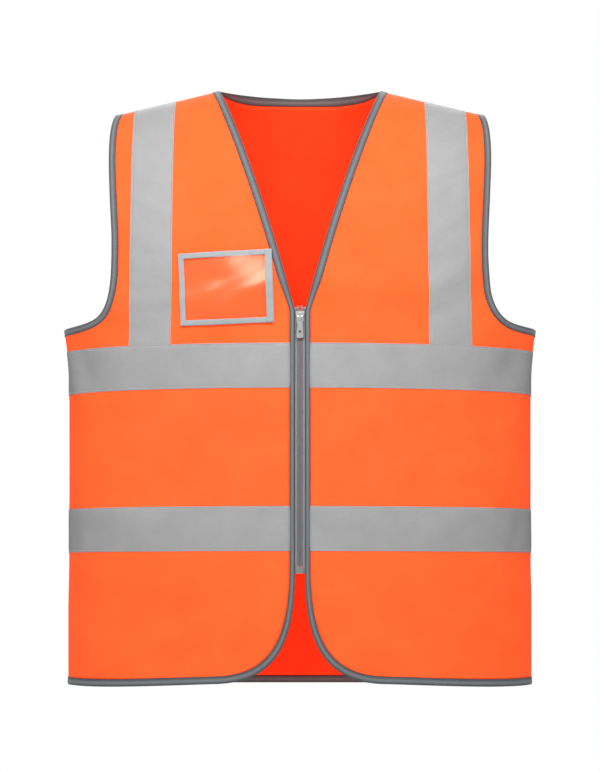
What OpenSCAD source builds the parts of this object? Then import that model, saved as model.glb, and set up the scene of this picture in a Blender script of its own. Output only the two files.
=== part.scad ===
// High-visibility waistcoat as worn: two zipped fronts and a back, bound edges, reflective tape, card pocket.
// The wearer faces -Y, so the wearer's left is +X. Heights are measured down from the neck ends of the
// shoulder seams, where the origin is.

/* [Garment] */
// Half the width of the garment at the waist
waist_half = 266.5; // [220:1:320]
// How much wider each side is at the foot of the armhole
underarm_flare = 5.5; // [0:0.5:12]
// Depth of the fronts, from the side seams to the zip
front_depth = 118; // [80:1:160]
// Depth of the back, from the side seams to the centre back
back_depth = 112; // [80:1:160]
// Height of the hem at the side seams, below the neck
body_length = 685; // [600:1:800]
// How far horizontal lines drop towards the back, per millimetre of depth
hang_tilt = 0.09; // [0:0.01:0.15]
// Height below which the fronts hang straight down
chest_drop = 265; // [255:1:275]

/* [Shoulders and neck] */
// Half the width of the neck opening at the shoulder seams
neck_half = 93; // [80:1:105]
// Distance from the centre to the outer end of a shoulder seam
shoulder_half = 213; // [200:1:225]
// Fall of the shoulder seam from the neck to its outer end
shoulder_fall = 28; // [15:1:45]
// How far the back of the neck stands above the shoulder seams, for the shape only
nape_rise = 45; // [30:1:60]
// Height of the foot of the armhole, below the neck
armhole_drop = 277; // [270:1:300]
// Distance of the front armhole edge from the centre, at its narrowest
armhole_half = 212.5; // [205:0.5:220]
// Distance of the back armhole edge from the centre, at its narrowest
back_armhole_half = 215.5; // [205:0.5:220]

/* [Cloth] */
// Thickness of the panel cloth
cloth = 1.0; // [0.6:0.1:1.4]
// Gap between the fronts and the back along the side and shoulder seams
seam_gap = 0.4; // [0.3:0.1:1]
// Width of the binding on the neck, armholes and hem
binding_width = 8.6; // [6:0.2:12]
// Width of the binding beside the zip
zip_binding_width = 6; // [4:0.2:8]
// Thickness of the folded binding
binding_thick = 1.8; // [1.6:0.1:2.4]

/* [Reflective tape] */
// Width of every reflective tape
tape_width = 50; // [40:1:60]
// Thickness of the reflective tape
tape_thick = 0.6; // [0.4:0.1:1]
// Height of the upper band's top edge, below the neck
upper_band_drop = 303; // [295:1:320]
// Height of the lower band's top edge, below the neck
lower_band_drop = 484; // [440:1:500]
// Distance of the brace's inner edge from the centre
brace_in = 143; // [120:1:150]
// Distance of the brace's outer edge from the centre
brace_out = 191; // [180:1:198]

/* [Card pocket] */
// Width of the pocket with its trim
pocket_width = 107; // [90:1:110]
// Height of the pocket with its trim
pocket_height = 81.5; // [70:0.5:84]
// Distance of the pocket's mouth from the centre
pocket_in = 28.5; // [28:0.5:40]
// Height of the pocket's top edge at the mouth, below the neck
pocket_drop = 199; // [190:1:215]
// How far the pocket drops across its width
pocket_slant = 3.5; // [0:0.5:8]
// How far the pocket's outer side leans towards the mouth at its bottom
pocket_lean = 4.5; // [0:0.5:8]
// How much shorter the pocket is at its outer side than at its mouth
pocket_taper = 0.5; // [0:0.5:5]
// How far the pocket's mouth leans out from the centre at its top
mouth_lean = 2.2; // [0:0.1:5]
// Width of the trim along the pocket's top, bottom and outer side
trim_width = 6.2; // [5:0.2:10]
// Width of the strip along the pocket's mouth
mouth_trim_width = 8.4; // [6:0.2:12]
// Thickness of the clear window
window_thick = 0.4; // [0.3:0.1:0.6]

/* [Zip] */
// Height of the slider's top when closed, below the neck
zip_top = 268; // [265:0.5:275]
// Height of the zip's foot, below the neck
zip_foot = 559; // [556:1:600]
// Half the gap between the two bound front edges
zip_gap_half = 5.6; // [5.4:0.1:7]
// Half the width of the meshed teeth
chain_half = 3.0; // [2.6:0.1:3.4]
// Thickness of the teeth
tooth_thick = 2.2; // [1.8:0.1:2.6]
// Spacing of the teeth on one side
tooth_pitch = 2.6; // [2.4:0.1:3.6]
// Height of one tooth
tooth_height = 0.9; // [0.7:0.1:1.1]
// Thickness of the zip's cloth tape
zip_tape_thick = 0.6; // [0.4:0.1:0.8]
// Distance of the zip tape's outer edge from the centre
zip_tape_half = 15; // [13:0.5:18]
// Length of the slider
slider_length = 12; // [10:0.5:16]
// Half the width of the slider
slider_half = 5.1; // [4.6:0.1:5.2]
// Thickness of each slider plate
slider_plate = 1.0; // [0.8:0.1:1.4]
// Clearance between the slider and the teeth
slider_clear = 0.25; // [0.15:0.05:0.4]
// Radius of the pull tab's cross bar
bar_r = 0.92; // [0.7:0.01:1.2]
// Running clearance of the cross bar in the slider's bridge
bar_clear = 0.08; // [0.03:0.01:0.1]
// Length of the pull tab below its cross bar
tab_length = 24; // [18:0.5:34]
// Half the width of the pull tab
tab_half = 3.7; // [3.4:0.1:4.4]
// Thickness of the pull tab
tab_thick = 1.2; // [0.8:0.1:1.6]
// Radius of the hole at the end of the pull tab
tab_hole_r = 1.4; // [1:0.1:1.6]

/* [Hidden] */
LEFT = 1;
RIGHT = -1;
FRONT = 1;
BACK = -1;
hi_vis = [1.0, 0.42, 0.18];
trim_grey = [0.36, 0.37, 0.38];
silver = [0.70, 0.70, 0.70];
nickel = [0.80, 0.80, 0.80];

// ---- The garment's surface ----------------------------------------------------------------
// A point is named by turn, the angle round the body from the centre front (or back), and by level:
// 0 on the shoulder seam, 1 at the chest, then 1 more for each 100 mm further down.

// Height of the shoulder seam, carried on across the neck
function ridge(x) = let (u = min(1, abs(x) / neck_half))
    -shoulder_fall * (abs(x) - neck_half) / (shoulder_half - neck_half) + nape_rise * pow(1 - u * u, 2);
function smooth(s) = let (c = max(0, min(1, s))) c * c * (3 - 2 * c);
function half_width(level) = waist_half + underarm_flare * smooth(1 - (level - 1) / 0.7);
function height(x, level) = level <= 1
    ? ridge(x) - level * (ridge(x) + chest_drop)
    : -chest_drop - 100 * (level - 1);
function level_at(x, h) = h >= -chest_drop
    ? max(0, (ridge(x) - h) / (ridge(x) + chest_drop))
    : 1 + (-chest_drop - h) / 100;
// Share of the full depth that is reached at a level: round over the shoulder, straight below the chest
function fullness(level) = level >= 1 ? 1 : pow(1 - pow(1 - max(0, level), 2.2), 0.62);
function middle_surface(turn, level, face) =
    let (x = half_width(level) * sin(turn),
         depth = face == FRONT ? front_depth : back_depth,
         y = -face * (depth * fullness(level) * cos(turn) + seam_gap / 2))
    [x, y, height(x, level) - hang_tilt * y];
function unit(v) = v / norm(v);
// The surface moved out by a distance, along its own normal
function garment(turn, level, face, out = 0) =
    let (p = middle_surface(turn, level, face),
         low = max(0, level - 0.004),
         across = middle_surface(turn + 0.5, level, face) - middle_surface(turn - 0.5, level, face),
         down = middle_surface(turn, level + 0.004, face) - middle_surface(turn, low, face))
    p - face * out * unit(cross(across, down));
function param(xh) = let (level = level_at(xh[0], xh[1]))
    [asin(max(-1, min(1, xh[0] / half_width(level)))), level];

// ---- Outlines, as [distance from the centre, height] ------------------------------------------
function bezier(p, t) = pow(1 - t, 3) * p[0] + 3 * t * pow(1 - t, 2) * p[1]
    + 3 * t * t * (1 - t) * p[2] + pow(t, 3) * p[3];
function inset(pts, d) = [for (i = [0 : len(pts) - 1])
    let (a = pts[max(0, i - 1)], b = pts[min(len(pts) - 1, i + 1)], t = unit(b - a))
    pts[i] + d * [-t[1], t[0]]];
function mix(a, b, f) = a + (b - a) * f;

corner_rows = 9;
// Rows beside the armhole, the first of them round its foot, where the side is most curved
foot_rows = 9;
neck_rows = 22;
// Rows beside the zip lie on the edges of the two bands
band_rows = [-lower_band_drop - tape_width, -lower_band_drop,
    -(lower_band_drop + upper_band_drop + tape_width) / 2, -upper_band_drop - tape_width, -upper_band_drop];
hem_corner = [100, -body_length + 3];
side = [waist_half, -body_length];
underarm = [half_width(1.12), -armhole_drop];
neck_end = [neck_half, 0];
tip = [shoulder_half, -shoulder_fall];

// Front edge from the hem corner up the zip and the neck, with its outline for the panel beside it
corner_curve = [[zip_gap_half, -zip_foot], [zip_gap_half + 0.5, -zip_foot - 69],
    [20, -body_length + 3], hem_corner];
vee_curve = [neck_end, [67, -62], [27.5, -180], [zip_gap_half, -zip_top]];
corner_edge = [for (i = [0 : corner_rows]) bezier(corner_curve, 1 - i / corner_rows)];
zip_edge = [for (h = band_rows) [zip_gap_half, h]];
foot_share = 0.8;
vee_edge = [for (i = [0 : neck_rows]) bezier(vee_curve, i < foot_rows
    ? mix(1, foot_share, i / foot_rows)
    : foot_share * pow(1 - (i - foot_rows) / (neck_rows - foot_rows), 1.5))];
front_edge = concat(corner_edge, zip_edge, vee_edge);
corner_inner = [for (i = [0 : corner_rows])
    let (all_in = inset(corner_edge, mix(-binding_width, -zip_binding_width, pow(i / corner_rows, 2)))) all_in[i]];
front_inner = concat(corner_inner,
    [for (p = zip_edge) p + [zip_binding_width, 0]],
    [for (i = [0 : neck_rows])
        let (w = mix(zip_binding_width, binding_width * 1.07, smooth(4 * i / neck_rows)),
             p = vee_edge[i] + [w, 0])
        i == neck_rows ? [p[0], ridge(p[0])] : p]);

// Side seam and armhole, row by row beside the front edge
function armhole_curve(half) = [
    [underarm, [half + 4, -armhole_drop], [half + 1, -armhole_drop + 16], [half - 0.5, -200]],
    [[half - 0.5, -200], [half - 1, -150], [shoulder_half + 12, -60], tip]];
function armhole_edge(half) = [for (i = [0 : neck_rows]) i < foot_rows
    ? bezier(armhole_curve(half)[0], pow(i / foot_rows, 2))
    : bezier(armhole_curve(half)[1], 1 - pow(1 - (i - foot_rows) / (neck_rows - foot_rows), 1.5))];
function armhole_inner(half) = let (edge = armhole_edge(half), pts = inset(edge, binding_width * 0.93))
    [for (i = [0 : neck_rows])
        i == 0 ? underarm - [0, binding_width]
        : i == neck_rows ? let (x = edge[i][0] - binding_width) [x, ridge(x)] : pts[i]];
side_rows = corner_rows + 1 + len(band_rows);
side_seam = [for (h = concat([for (i = [0 : corner_rows])
        mix(-body_length + binding_width, -zip_foot, i / corner_rows)], band_rows))
    [half_width(level_at(0, h)), h]];
front_outer = concat(side_seam, armhole_inner(armhole_half));

// ---- Building solids ---------------------------------------------------------------------
// A closed solid between two grids of points with the same rows and columns
module slab(outer, inner) {
    rows = len(outer);
    cols = len(outer[0]);
    n = rows * cols;
    points = concat([for (r = outer) for (p = r) p], [for (r = inner) for (p = r) p]);
    function at(r, c) = r * cols + c;
    faces = concat(
        [for (r = [0 : rows - 2], c = [0 : cols - 2]) each
            [[at(r, c), at(r, c + 1), at(r + 1, c + 1)], [at(r, c), at(r + 1, c + 1), at(r + 1, c)]]],
        [for (r = [0 : rows - 2], c = [0 : cols - 2]) each
            [[n + at(r, c), n + at(r + 1, c + 1), n + at(r, c + 1)],
             [n + at(r, c), n + at(r + 1, c), n + at(r + 1, c + 1)]]],
        [for (c = [0 : cols - 2]) each
            [[at(0, c), n + at(0, c + 1), at(0, c + 1)], [at(0, c), n + at(0, c), n + at(0, c + 1)],
             [at(rows - 1, c), at(rows - 1, c + 1), n + at(rows - 1, c + 1)],
             [at(rows - 1, c), n + at(rows - 1, c + 1), n + at(rows - 1, c)]]],
        [for (r = [0 : rows - 2]) each
            [[at(r, 0), at(r + 1, 0), n + at(r + 1, 0)], [at(r, 0), n + at(r + 1, 0), n + at(r, 0)],
             [at(r, cols - 1), n + at(r + 1, cols - 1), at(r + 1, cols - 1)],
             [at(r, cols - 1), n + at(r, cols - 1), n + at(r + 1, cols - 1)]]]);
    polyhedron(points, faces);
}

// A sheet on the garment from a grid of [turn, level], between two distances from its middle surface
module sheet(grid, face, low, high) {
    slab([for (row = grid) [for (q = row) garment(q[0], q[1], face, face > 0 ? high : low)]],
         [for (row = grid) [for (q = row) garment(q[0], q[1], face, face > 0 ? low : high)]]);
}

module on_side(side) { mirror([side == RIGHT ? 1 : 0, 0, 0]) children(); }

// ---- Fronts ------------------------------------------------------------------------------
front_cols = 20;
hem_sag = 0.03;
// One front's grid: each row runs from the front edge to the side seam or armhole
function front_row(i, share) = let (a = param(front_inner[i]), b = param(front_outer[i]),
        flat = i <= side_rows - 1 ? 90 : b[0],
        sag = i < corner_rows ? hem_sag * sin(180 * share) * (1 - i / corner_rows) : 0)
    [mix(a[0], flat, share), mix(a[1], b[1], share) + sag];
front_last = side_rows + neck_rows;
function front_grid() = [for (i = [0 : front_last]) [for (j = [0 : front_cols])
    let (q = front_row(i, j / front_cols)) i == front_last ? [q[0], 0] : q]];

module front_panel(side) {
    color(hi_vis) on_side(side) sheet(front_grid(), FRONT, -cloth / 2, cloth / 2);
}

// Bindings are strips between two rows of [turn, level]
module binding(edge, inner, face) {
    sheet([edge, inner], face, -binding_thick / 2, binding_thick / 2);
}

// The front's binding runs from the side seam along the hem, up the front edge and the neck to the shoulder
module edge_binding(side) {
    hem = [for (j = [front_cols : -1 : 1]) front_row(0, j / front_cols)];
    hem_edge = [for (q = hem) q + [0, binding_width / 100]];
    neck = [for (i = [0 : len(front_inner) - 1]) param(front_inner[i])];
    neck_edge = [for (i = [0 : len(front_edge) - 1]) param(front_edge[i])];
    color(trim_grey) on_side(side)
        binding(concat(hem_edge, neck_edge), concat(hem, neck), FRONT);
}

function armhole_params(pts) = [for (i = [0 : neck_rows])
    let (q = param(pts[i])) [i == 0 ? 90 : q[0], i == neck_rows ? 0 : q[1]]];
module armhole_binding(side, face, half) {
    edge = armhole_params(armhole_edge(half));
    inner = armhole_params(armhole_inner(half));
    color(trim_grey) on_side(side) binding(edge, inner, face);
}

// ---- Back --------------------------------------------------------------------------------
nape_cols = 6;
shoulder_cols = 9;
// How much further the back hangs at its centre than at the side seams, in levels
back_sag = 0.03;
neck_share = asin((neck_half + binding_width) / half_width(0))
    / asin((shoulder_half - binding_width) / half_width(0));
// Shares of the way from the centre back to the side, with a column at the neck's end
back_shares = concat([for (j = [0 : nape_cols - 1]) neck_share * j / nape_cols],
    [for (j = [0 : shoulder_cols]) mix(neck_share, 1, j / shoulder_cols)]);
nape_height = 4;
function nape(x) = nape_height * (1 - pow(x / neck_half, 2));
// Level of the neckline and of its binding's inner edge, by turn
function nape_edge_level(turn) = let (x = half_width(0) * sin(turn)) level_at(x, nape(x));
function nape_inner_level(turn) = let (x = half_width(0) * sin(turn), reach = neck_half + binding_width)
    max(0, level_at(x * neck_half / reach, nape(0)) + 0.023 * (1 - pow(abs(x) / reach, 4)));
back_armhole = armhole_params(armhole_inner(back_armhole_half));
// Heights of the back's rows below the armholes, from the hem up, with the bands' edges among them
back_low = concat([-body_length + binding_width, -zip_foot], band_rows);
function back_row(i, share) = i < len(back_low)
    ? [90 * share, level_at(0, back_low[i]) + (i == 0 ? back_sag * (1 - share * share) : 0)]
    : let (end = back_armhole[i - len(back_low)],
           foot = back_armhole[0][1],
           top_turn = back_armhole[neck_rows][0] * share,
           top = share >= neck_share - 0.001 ? 0 : nape_inner_level(top_turn))
      [end[0] * share, mix(top, foot, end[1] / foot)];
back_last = len(back_low) + neck_rows;
function back_grid() = [for (i = [0 : back_last]) concat(
    [for (j = [len(back_shares) - 1 : -1 : 1]) let (q = back_row(i, back_shares[j])) [-q[0], q[1]]],
    [for (s = back_shares) back_row(i, s)])];

module back_panel() {
    color(hi_vis) sheet(back_grid(), BACK, -cloth / 2, cloth / 2);
}
module back_neck_binding() {
    top = back_grid()[back_last];
    middle = len(back_shares) - 1;
    inner = [for (j = [-nape_cols : nape_cols]) top[middle + j]];
    edge_turn = asin(neck_half / half_width(0));
    edge = [for (j = [-nape_cols : nape_cols]) let (turn = edge_turn * j / nape_cols)
        [turn, abs(j) == nape_cols ? 0 : nape_edge_level(turn)]];
    color(trim_grey) binding(edge, inner, BACK);
}
module back_hem_binding() {
    inner = back_grid()[0];
    edge = [for (q = inner) q + [0, binding_width / 100]];
    color(trim_grey) binding(edge, inner, BACK);
}

// ---- Reflective tape ---------------------------------------------------------------------
layer_gap = 0.15;
band_low = cloth / 2 + layer_gap;
brace_low = cloth / 2 + 2 * layer_gap;
// A band lies on its panel's own rows and columns
function front_band_row(i) = [for (j = [0 : front_cols]) front_row(i, j / front_cols)];
module front_band(side, low_row) {
    color(silver) on_side(side)
        sheet([front_band_row(low_row), front_band_row(low_row + 1)], FRONT, band_low, band_low + tape_thick);
}
module back_band(low_row) {
    color(silver) sheet([back_grid()[low_row], back_grid()[low_row + 1]], BACK, band_low, band_low + tape_thick);
}
upper_row = len(band_rows) - 2;
// A brace runs from the upper band to the shoulder seam
brace_rows = 20;
module brace(side, face) {
    foot = level_at(0, -upper_band_drop + layer_gap);
    color(silver) on_side(side) sheet([for (i = [0 : brace_rows])
        let (level = foot * pow(1 - i / brace_rows, 1.6))
        [for (x = [brace_in, (brace_in + brace_out) / 2, brace_out])
            [asin(x / half_width(level)), level]]], face, brace_low, brace_low + tape_thick);
}

// ---- Card pocket on the wearer's right ---------------------------------------------------
window_low = brace_low + 0.9;
trim_low = window_low + window_thick + layer_gap;
trim_thick = 1.0;
// A piece of the pocket, in shares of its width from the mouth and of its height from the top
module pocket_piece(from, to, low, thick, cols, rows) {
    on_side(RIGHT) sheet([for (i = [0 : rows]) [for (j = [0 : cols])
        let (u = mix(from[0], to[0], j / cols), v = mix(from[1], to[1], i / rows))
        param([pocket_in + (1 - u) * (1 - v) * mouth_lean + u * (pocket_width - v * pocket_lean),
            -pocket_drop - v * (pocket_height - u * pocket_taper) - u * pocket_slant])]], FRONT, low, low + thick);
}
trim_u = trim_width / pocket_width;
trim_v = trim_width / pocket_height;
mouth_u = mouth_trim_width / pocket_width;
gap_u = 0.2 / pocket_width;
gap_v = 0.2 / pocket_height;
module pocket_window() {
    color([0.9, 0.92, 0.95, 0.3])
        pocket_piece([trim_u / 4, trim_v / 4], [1 - trim_u / 4, 1 - trim_v / 4], window_low, window_thick, 8, 6);
}
module pocket_trim_top() {
    color(silver) pocket_piece([mouth_u + gap_u, 0], [1, trim_v], trim_low, trim_thick, 8, 1);
}
module pocket_trim_bottom() {
    color(silver) pocket_piece([mouth_u + gap_u, 1 - trim_v], [1, 1], trim_low, trim_thick, 8, 1);
}
module pocket_trim_side() {
    color(silver)
        pocket_piece([1 - trim_u, trim_v + gap_v], [1, 1 - trim_v - gap_v], trim_low, trim_thick, 1, 6);
}
module pocket_trim_mouth() {
    color(silver) pocket_piece([0, 0], [mouth_u, 1], trim_low, trim_thick, 1, 8);
}

// ---- Zip ---------------------------------------------------------------------------------
// The zip hangs straight down behind the two bound edges
front_y = -front_depth - seam_gap / 2;
lift = -hang_tilt * front_y;
chain_y = front_y + binding_thick / 2 + layer_gap + zip_tape_thick / 2;
top_z = lift - zip_top;
foot_z = lift - zip_foot;
slider_mouth = slider_length / 2;
tape_end = 4;

module zip_tape(side) {
    low = -(chain_y - front_y) - zip_tape_thick / 2;
    color(trim_grey) on_side(side)
        sheet([for (h = [-zip_top + tape_end, -zip_foot]) [for (x = [chain_half + 0.05, 7, 11, zip_tape_half])
            [asin(x / waist_half), level_at(0, h)]]], FRONT, low, low + zip_tape_thick);
}

// Each side's teeth reach a little past the middle, between those of the other side
module zip_teeth(side) {
    reach = 0.7;
    first = top_z - slider_mouth - (side == RIGHT ? tooth_pitch / 2 : 0);
    count = floor((first - foot_z - retainer_height - 2) / tooth_pitch);
    color(trim_grey) on_side(side) for (k = [0 : count])
        translate([-reach, chain_y - tooth_thick / 2, first - tooth_height - k * tooth_pitch])
            cube([chain_half + reach, tooth_thick, tooth_height]);
}

// A clip folded over the inner edge of the tape, just above the slider
module top_stop(side) {
    stop_width = 2.5;
    stop_height = 2.6;
    wall = 0.9;
    color(nickel) on_side(side) translate([chain_half + 0.05 - wall - 0.05, chain_y, top_z + 0.4]) difference() {
        translate([0, -tooth_thick / 2, 0]) cube([stop_width, tooth_thick, stop_height]);
        translate([wall, -zip_tape_thick / 2 - 0.05, -1]) cube([stop_width, zip_tape_thick + 0.1, stop_height + 2]);
    }
}

// The box is fixed to the wearer's right half, and the pin on the left half drops into its channel
retainer_height = 7;
retainer_wall = 0.8;
retainer_floor = 1;
pin_r = 0.85;
pin_x = 1.7;
pin_clear = 0.2;
retainer_thick = 2 * (pin_r + pin_clear + retainer_wall);
module retainer_box() {
    half = zip_gap_half - 0.8;
    slot = zip_tape_thick + 0.3;
    color(nickel) difference() {
        translate([-half, chain_y - retainer_thick / 2, foot_z])
            cube([half + pin_x + pin_r + pin_clear + retainer_wall, retainer_thick, retainer_height]);
        translate([pin_x, chain_y, foot_z + retainer_floor])
            cylinder(h = retainer_height, r = pin_r + pin_clear, $fn = 48);
        translate([pin_x, chain_y - slot / 2, foot_z + retainer_floor])
            cube([half, slot, retainer_height]);
        for (x = [-half - 1, chain_half - 0.2])
            translate([x, chain_y - slot / 2, foot_z - 1])
                cube([half + 1 - chain_half + 0.2, slot, retainer_height + 2]);
    }
}
module insertion_pin() {
    color(nickel) translate([pin_x, chain_y, foot_z + retainer_floor + 0.3])
        cylinder(h = retainer_height - retainer_floor + 0.4, r = pin_r, $fn = 48);
}

// The slider: two plates joined by a wedge between the tooth rows, rims that leave a slot for the tapes,
// and a bridge that holds the pull tab's cross bar
inner_half = tooth_thick / 2 + slider_clear;
slider_rim = 0.8;
// The rims close in on the meshed teeth below the slider's middle
waist = chain_half + 0.2 + slider_rim;
plate_front = chain_y - inner_half - slider_plate;
slot_half = zip_tape_thick / 2 + 0.15;
bridge_half = 1.1;
bridge_length = 7.6;
bar_y = plate_front - 1.6;
bar_z = top_z - slider_length / 2;
module slider_outline() {
    polygon([[-slider_half, slider_length * 0.42], [-slider_half + 1.4, slider_length / 2],
        [slider_half - 1.4, slider_length / 2], [slider_half, slider_length * 0.42],
        [waist, -slider_length * 0.1], [waist, -slider_length / 2 + 0.6], [waist - 0.6, -slider_length / 2],
        [-waist + 0.6, -slider_length / 2], [-waist, -slider_length / 2 + 0.6], [-waist, -slider_length * 0.1]]);
}
module slider_layer(y, thick) {
    translate([0, y + thick, bar_z]) rotate([90, 0, 0]) linear_extrude(thick) children();
}
module zip_slider() {
    color(nickel) union() {
        slider_layer(plate_front, slider_plate) slider_outline();
        slider_layer(chain_y + inner_half, slider_plate) slider_outline();
        for (y = [plate_front + slider_plate, chain_y + slot_half])
            slider_layer(y, inner_half - slot_half) difference() {
                slider_outline();
                polygon([[-slider_half + slider_rim, slider_length], [slider_half - slider_rim, slider_length],
                    [slider_half - slider_rim, slider_length * 0.42], [waist - slider_rim, -slider_length * 0.1],
                    [waist - slider_rim, -slider_length], [slider_rim - waist, -slider_length],
                    [slider_rim - waist, -slider_length * 0.1], [slider_rim - slider_half, slider_length * 0.42]]);
            }
        translate([0, chain_y + inner_half + 0.01, bar_z + slider_length * 0.3]) rotate([90, 0, 0])
            linear_extrude(2 * inner_half + 0.02) polygon([[-1.3, slider_length * 0.2], [1.3, slider_length * 0.2],
                [1.0, 0], [0, -1.6], [-1.0, 0]]);
        difference() {
            translate([-bridge_half, bar_y - bar_r - bar_clear - 0.9, bar_z - bridge_length / 2])
                cube([2 * bridge_half, plate_front - bar_y + bar_r + bar_clear + 0.91, bridge_length]);
            translate([-bridge_half - 1, bar_y, bar_z]) rotate([0, 90, 0])
                cylinder(h = 2 * bridge_half + 2, r = bar_r + bar_clear, $fn = 48);
        }
    }
}
// The tab hangs from its cross bar by two arms, either side of the bridge
module pull_tab() {
    arm_in = bridge_half + 0.4;
    eye = 5.4;
    color(nickel) union() {
        translate([-tab_half + 0.6, bar_y, bar_z]) rotate([0, 90, 0])
            cylinder(h = 2 * tab_half - 1.2, r = bar_r, $fn = 48);
        difference() {
            translate([0, bar_y + tab_thick / 2, bar_z]) rotate([90, 0, 0]) linear_extrude(tab_thick)
                polygon([[-tab_half + 0.6, 0], [-tab_half + 0.6, -eye], [-tab_half + 1, -eye - 4],
                    [-tab_half, -tab_length + 6], [-tab_half, -tab_length + 1.2], [-tab_half + 1.2, -tab_length],
                    [tab_half - 1.2, -tab_length], [tab_half, -tab_length + 1.2], [tab_half, -tab_length + 6],
                    [tab_half - 1, -eye - 4], [tab_half - 0.6, -eye], [tab_half - 0.6, 0]]);
            translate([-arm_in, bar_y - 5, bar_z - eye]) cube([2 * arm_in, 10, eye + 1]);
            translate([0, bar_y + 5, bar_z - tab_length + 7]) rotate([90, 0, 0])
                cylinder(h = 10, r = tab_hole_r, $fn = 48);
        }
    }
}

back_panel();
front_panel(LEFT);  // front_panel_left
front_panel(RIGHT);  // front_panel_right
edge_binding(LEFT);  // edge_binding_left
edge_binding(RIGHT);  // edge_binding_right
back_neck_binding();
back_hem_binding();
armhole_binding(LEFT, FRONT, armhole_half);  // armhole_binding_front_left
armhole_binding(RIGHT, FRONT, armhole_half);  // armhole_binding_front_right
armhole_binding(LEFT, BACK, back_armhole_half);  // armhole_binding_back_left
armhole_binding(RIGHT, BACK, back_armhole_half);  // armhole_binding_back_right
front_band(LEFT, corner_rows + 1 + upper_row);  // upper_band_left
front_band(RIGHT, corner_rows + 1 + upper_row);  // upper_band_right
back_band(2 + upper_row);  // upper_band_back
front_band(LEFT, corner_rows + 1);  // lower_band_left
front_band(RIGHT, corner_rows + 1);  // lower_band_right
back_band(2);  // lower_band_back
brace(LEFT, FRONT);  // brace_front_left
brace(RIGHT, FRONT);  // brace_front_right
brace(LEFT, BACK);  // brace_back_left
brace(RIGHT, BACK);  // brace_back_right
pocket_window();
pocket_trim_top();
pocket_trim_bottom();
pocket_trim_side();
pocket_trim_mouth();
zip_tape(LEFT);  // zip_tape_left
zip_tape(RIGHT);  // zip_tape_right
zip_teeth(LEFT);  // zip_teeth_left
zip_teeth(RIGHT);  // zip_teeth_right
top_stop(LEFT);  // top_stop_left
top_stop(RIGHT);  // top_stop_right
retainer_box();
insertion_pin();
zip_slider();
pull_tab();
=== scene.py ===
import math

import bpy
import numpy as np
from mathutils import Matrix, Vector


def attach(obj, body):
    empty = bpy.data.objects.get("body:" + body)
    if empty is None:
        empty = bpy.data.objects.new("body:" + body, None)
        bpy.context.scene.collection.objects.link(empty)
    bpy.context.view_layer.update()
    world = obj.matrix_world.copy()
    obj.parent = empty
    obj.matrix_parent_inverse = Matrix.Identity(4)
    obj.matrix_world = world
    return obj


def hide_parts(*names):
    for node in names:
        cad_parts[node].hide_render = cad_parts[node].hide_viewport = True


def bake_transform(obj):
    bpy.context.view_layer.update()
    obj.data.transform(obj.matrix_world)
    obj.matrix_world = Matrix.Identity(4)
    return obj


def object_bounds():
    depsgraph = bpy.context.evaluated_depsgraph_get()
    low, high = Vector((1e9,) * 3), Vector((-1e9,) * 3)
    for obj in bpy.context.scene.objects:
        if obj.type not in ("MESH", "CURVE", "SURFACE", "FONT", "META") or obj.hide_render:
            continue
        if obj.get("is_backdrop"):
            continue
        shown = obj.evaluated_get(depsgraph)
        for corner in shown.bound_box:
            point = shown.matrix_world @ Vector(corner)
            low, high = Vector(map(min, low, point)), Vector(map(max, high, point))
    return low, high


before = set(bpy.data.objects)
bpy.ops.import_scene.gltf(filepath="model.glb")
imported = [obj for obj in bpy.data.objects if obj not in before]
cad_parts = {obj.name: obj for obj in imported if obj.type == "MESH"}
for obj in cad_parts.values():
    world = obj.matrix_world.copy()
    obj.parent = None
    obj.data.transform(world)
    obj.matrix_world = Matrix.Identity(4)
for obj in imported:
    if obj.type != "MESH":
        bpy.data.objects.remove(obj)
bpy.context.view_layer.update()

# ---- Where the vest is seen -----------------------------------------------------------------
# The vest hangs at the height it has on a standing wearer, in front of plain white. A pale painted floor lies
# far below it, and broad soft lights stand in front, above and behind.


def hue(code):
    """A colour from its sRGB hex code, made linear."""
    parts = [int(code[i : i + 2], 16) / 255 for i in (1, 3, 5)]
    return tuple(c / 12.92 if c <= 0.04045 else ((c + 0.055) / 1.055) ** 2.4 for c in parts) + (1.0,)


def add(tree, kind, settings=None, links=None):
    """One node: settings by property or input name, a ramp's stops, and links from other nodes' outputs."""
    made = tree.nodes.new(kind)
    for name, value in (settings or {}).items():
        if name == "stops":
            marks = made.color_ramp.elements
            marks[0].position, marks[-1].position = value[0][0], value[-1][0]
            for place, _ in value[1:-1]:
                marks.new(place)
            for mark, (_, code) in zip(marks, value):
                mark.color = hue(code)
        elif isinstance(name, str) and hasattr(made, name):
            setattr(made, name, value)
        else:
            made.inputs[name].default_value = value
    for name, output in (links or {}).items():
        tree.links.new(output, made.inputs[name])
    return made


def material(name):
    """A new material with its tree emptied, ready for its own nodes."""
    made = bpy.data.materials.new(name)
    made.use_nodes = True
    made.node_tree.nodes.clear()
    return made, made.node_tree


shoulder_height = 1.42
waist_height = -0.34
camera_distance = 2.7
camera_data = bpy.data.cameras.new("camera")
camera_data.sensor_fit = "HORIZONTAL"
camera_data.sensor_width = 36.0
# The waist is 533 mm wide at its sides, and fills 460 of the frame's 600 parts
waist_width, waist_share = 0.533, 460 / 600
camera_data.lens = camera_data.sensor_width * camera_distance * waist_share / waist_width
camera_data.clip_end = 30
camera = bpy.data.objects.new("camera", camera_data)
camera.location = (0, -camera_distance, waist_height)
camera.rotation_euler = (math.pi / 2, 0, 0)
bpy.context.scene.collection.objects.link(camera)
bpy.context.scene.camera = camera

painted_floor, tree = material("painted_plywood_floor")
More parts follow.
